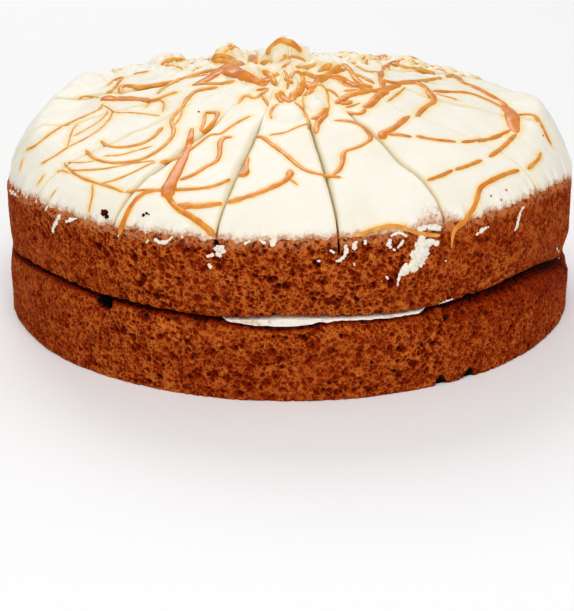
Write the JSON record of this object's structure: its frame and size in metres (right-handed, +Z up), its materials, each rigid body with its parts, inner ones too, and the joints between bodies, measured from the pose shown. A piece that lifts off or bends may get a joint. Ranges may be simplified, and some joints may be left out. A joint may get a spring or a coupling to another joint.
{
  "type": "butterscotch layer cake",
  "caption": "Round two-layer butterscotch cake, cut into portions, with cream icing and caramel drizzle, for serving on a plate or stand.",
  "frame": {"origin": "on the surface the cake stands on, under the centre of the round sponges", "axes": "+Z up; -Y towards the front, the side of the picture's camera; +X to the picture's right"},
  "size_m": [0.2561, 0.2561, 0.1142],
  "materials": {
    "sponge": "matte, open crumb",
    "filling": "soft cream",
    "icing": "soft cream icing",
    "caramel": "glossy sauce"
  },
  "bodies": {
    "root": {"lower_sponge": "sponge", "upper_sponge": "sponge", "filling": "filling", "icing_01": "icing", "icing_02": "icing", "icing_03": "icing", "icing_04": "icing", "icing_05": "icing", "icing_06": "icing", "icing_07": "icing", "icing_08": "icing", "icing_09": "icing", "icing_10": "icing", "icing_11": "icing", "icing_12": "icing", "icing_13": "icing", "icing_14": "icing", "icing_15": "icing", "icing_16": "icing"}
  },
  "joints": []
}
